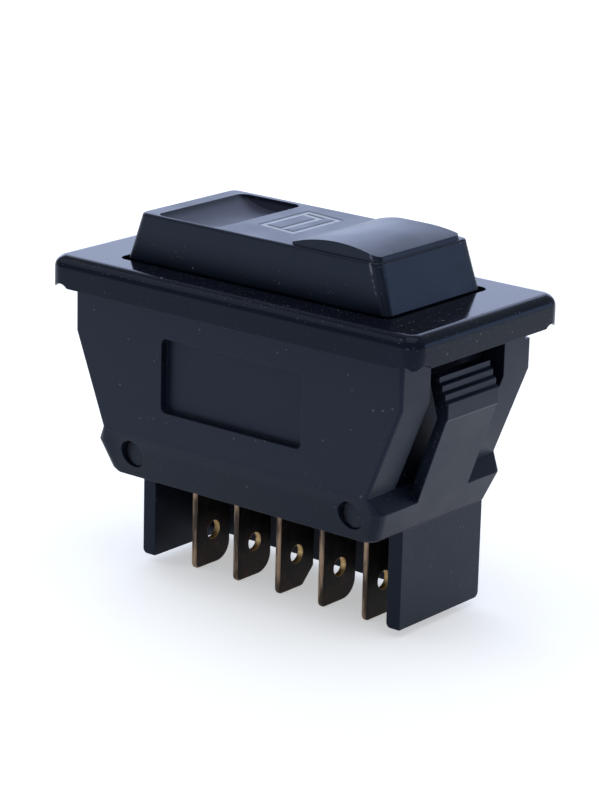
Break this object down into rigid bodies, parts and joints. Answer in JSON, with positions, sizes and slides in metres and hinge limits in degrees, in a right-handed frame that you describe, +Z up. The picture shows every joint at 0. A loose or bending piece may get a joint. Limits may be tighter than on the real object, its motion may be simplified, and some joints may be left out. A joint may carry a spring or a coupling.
{
  "type": "power window switch",
  "caption": "Panel-mounted momentary rocker switch with bezel frame, end snap tongues, guarded blade terminals and see-saw contact levers.",
  "frame": {"origin": "middle of the bezel in X and Y, at the tips of the terminal blades", "axes": "+X along the switch towards the raised end of the rocker, +Y across it towards the wall behind the blades, +Z up out of the panel"},
  "size_m": [0.0532, 0.0274, 0.045],
  "materials": {
    "bezel": "smooth moulded black nylon, polished top",
    "housing": "satin moulded black nylon",
    "base": "satin moulded black phenolic",
    "rocker": "fine satin moulded black nylon",
    "plunger": "natural acetal",
    "spring": "drawn spring wire",
    "lever": "stamped copper alloy strip",
    "contact": "silver alloy contact",
    "blade": "stamped brass, tarnished on the faces and bright on the cut edges"
  },
  "bodies": {
    "case": {"housing": "housing", "bezel_frame": "bezel", "terminal_base": "base", "terminal_1": "blade", "terminal_2": "blade", "terminal_3": "blade", "terminal_4": "blade", "terminal_5": "blade", "fixed_contact_1": "contact", "fixed_contact_3a": "contact", "fixed_contact_3b": "contact", "fixed_contact_5": "contact"},
    "rocker": {"rocker": "rocker", "plunger_spring_left": "spring", "plunger_spring_right": "spring"},
    "plunger_left": {"plunger_left": "plunger"},
    "plunger_right": {"plunger_right": "plunger"},
    "lever_left": {"contact_lever_left": "lever", "lever_contact_left_outer": "contact", "lever_contact_left_inner": "contact"},
    "lever_right": {"contact_lever_right": "lever", "lever_contact_right_outer": "contact", "lever_contact_right_inner": "contact"}
  },
  "joints": [
    {"name": "rocker_tilt", "type": "hinge", "parent": "case", "child": "rocker", "pos_m": [0, 0, 0.0335], "axis": [0, 1, 0], "range_deg": [-8, 8], "stiffness_Nm_per_rad": 0.4},
    {"name": "plunger_left_slide", "type": "slide", "parent": "rocker", "child": "plunger_left", "axis": [0, 0, 1], "range_m": [-0.0011, 0.0011], "deforming": ["plunger_spring_left"]},
    {"name": "plunger_right_slide", "type": "slide", "parent": "rocker", "child": "plunger_right", "axis": [0, 0, 1], "range_m": [-0.0011, 0.0011], "deforming": ["plunger_spring_right"]},
    {"name": "lever_left_rock", "type": "hinge", "parent": "case", "child": "lever_left", "pos_m": [-0.0064, 0, 0.0186], "axis": [0, 1, 0], "range_deg": [0, 10], "stiffness_Nm_per_rad": 0.002, "springref_deg": -5.73},
    {"name": "lever_right_rock", "type": "hinge", "parent": "case", "child": "lever_right", "pos_m": [0.0064, 0, 0.0186], "axis": [0, -1, 0], "range_deg": [0, 10], "stiffness_Nm_per_rad": 0.002, "springref_deg": -5.73}
  ],
  "couplings": [
    {"joint": "plunger_left_slide", "follows": "rocker_tilt", "m_per_rad": -0.0073},
    {"joint": "plunger_right_slide", "follows": "rocker_tilt", "m_per_rad": 0.0073}
  ]
}
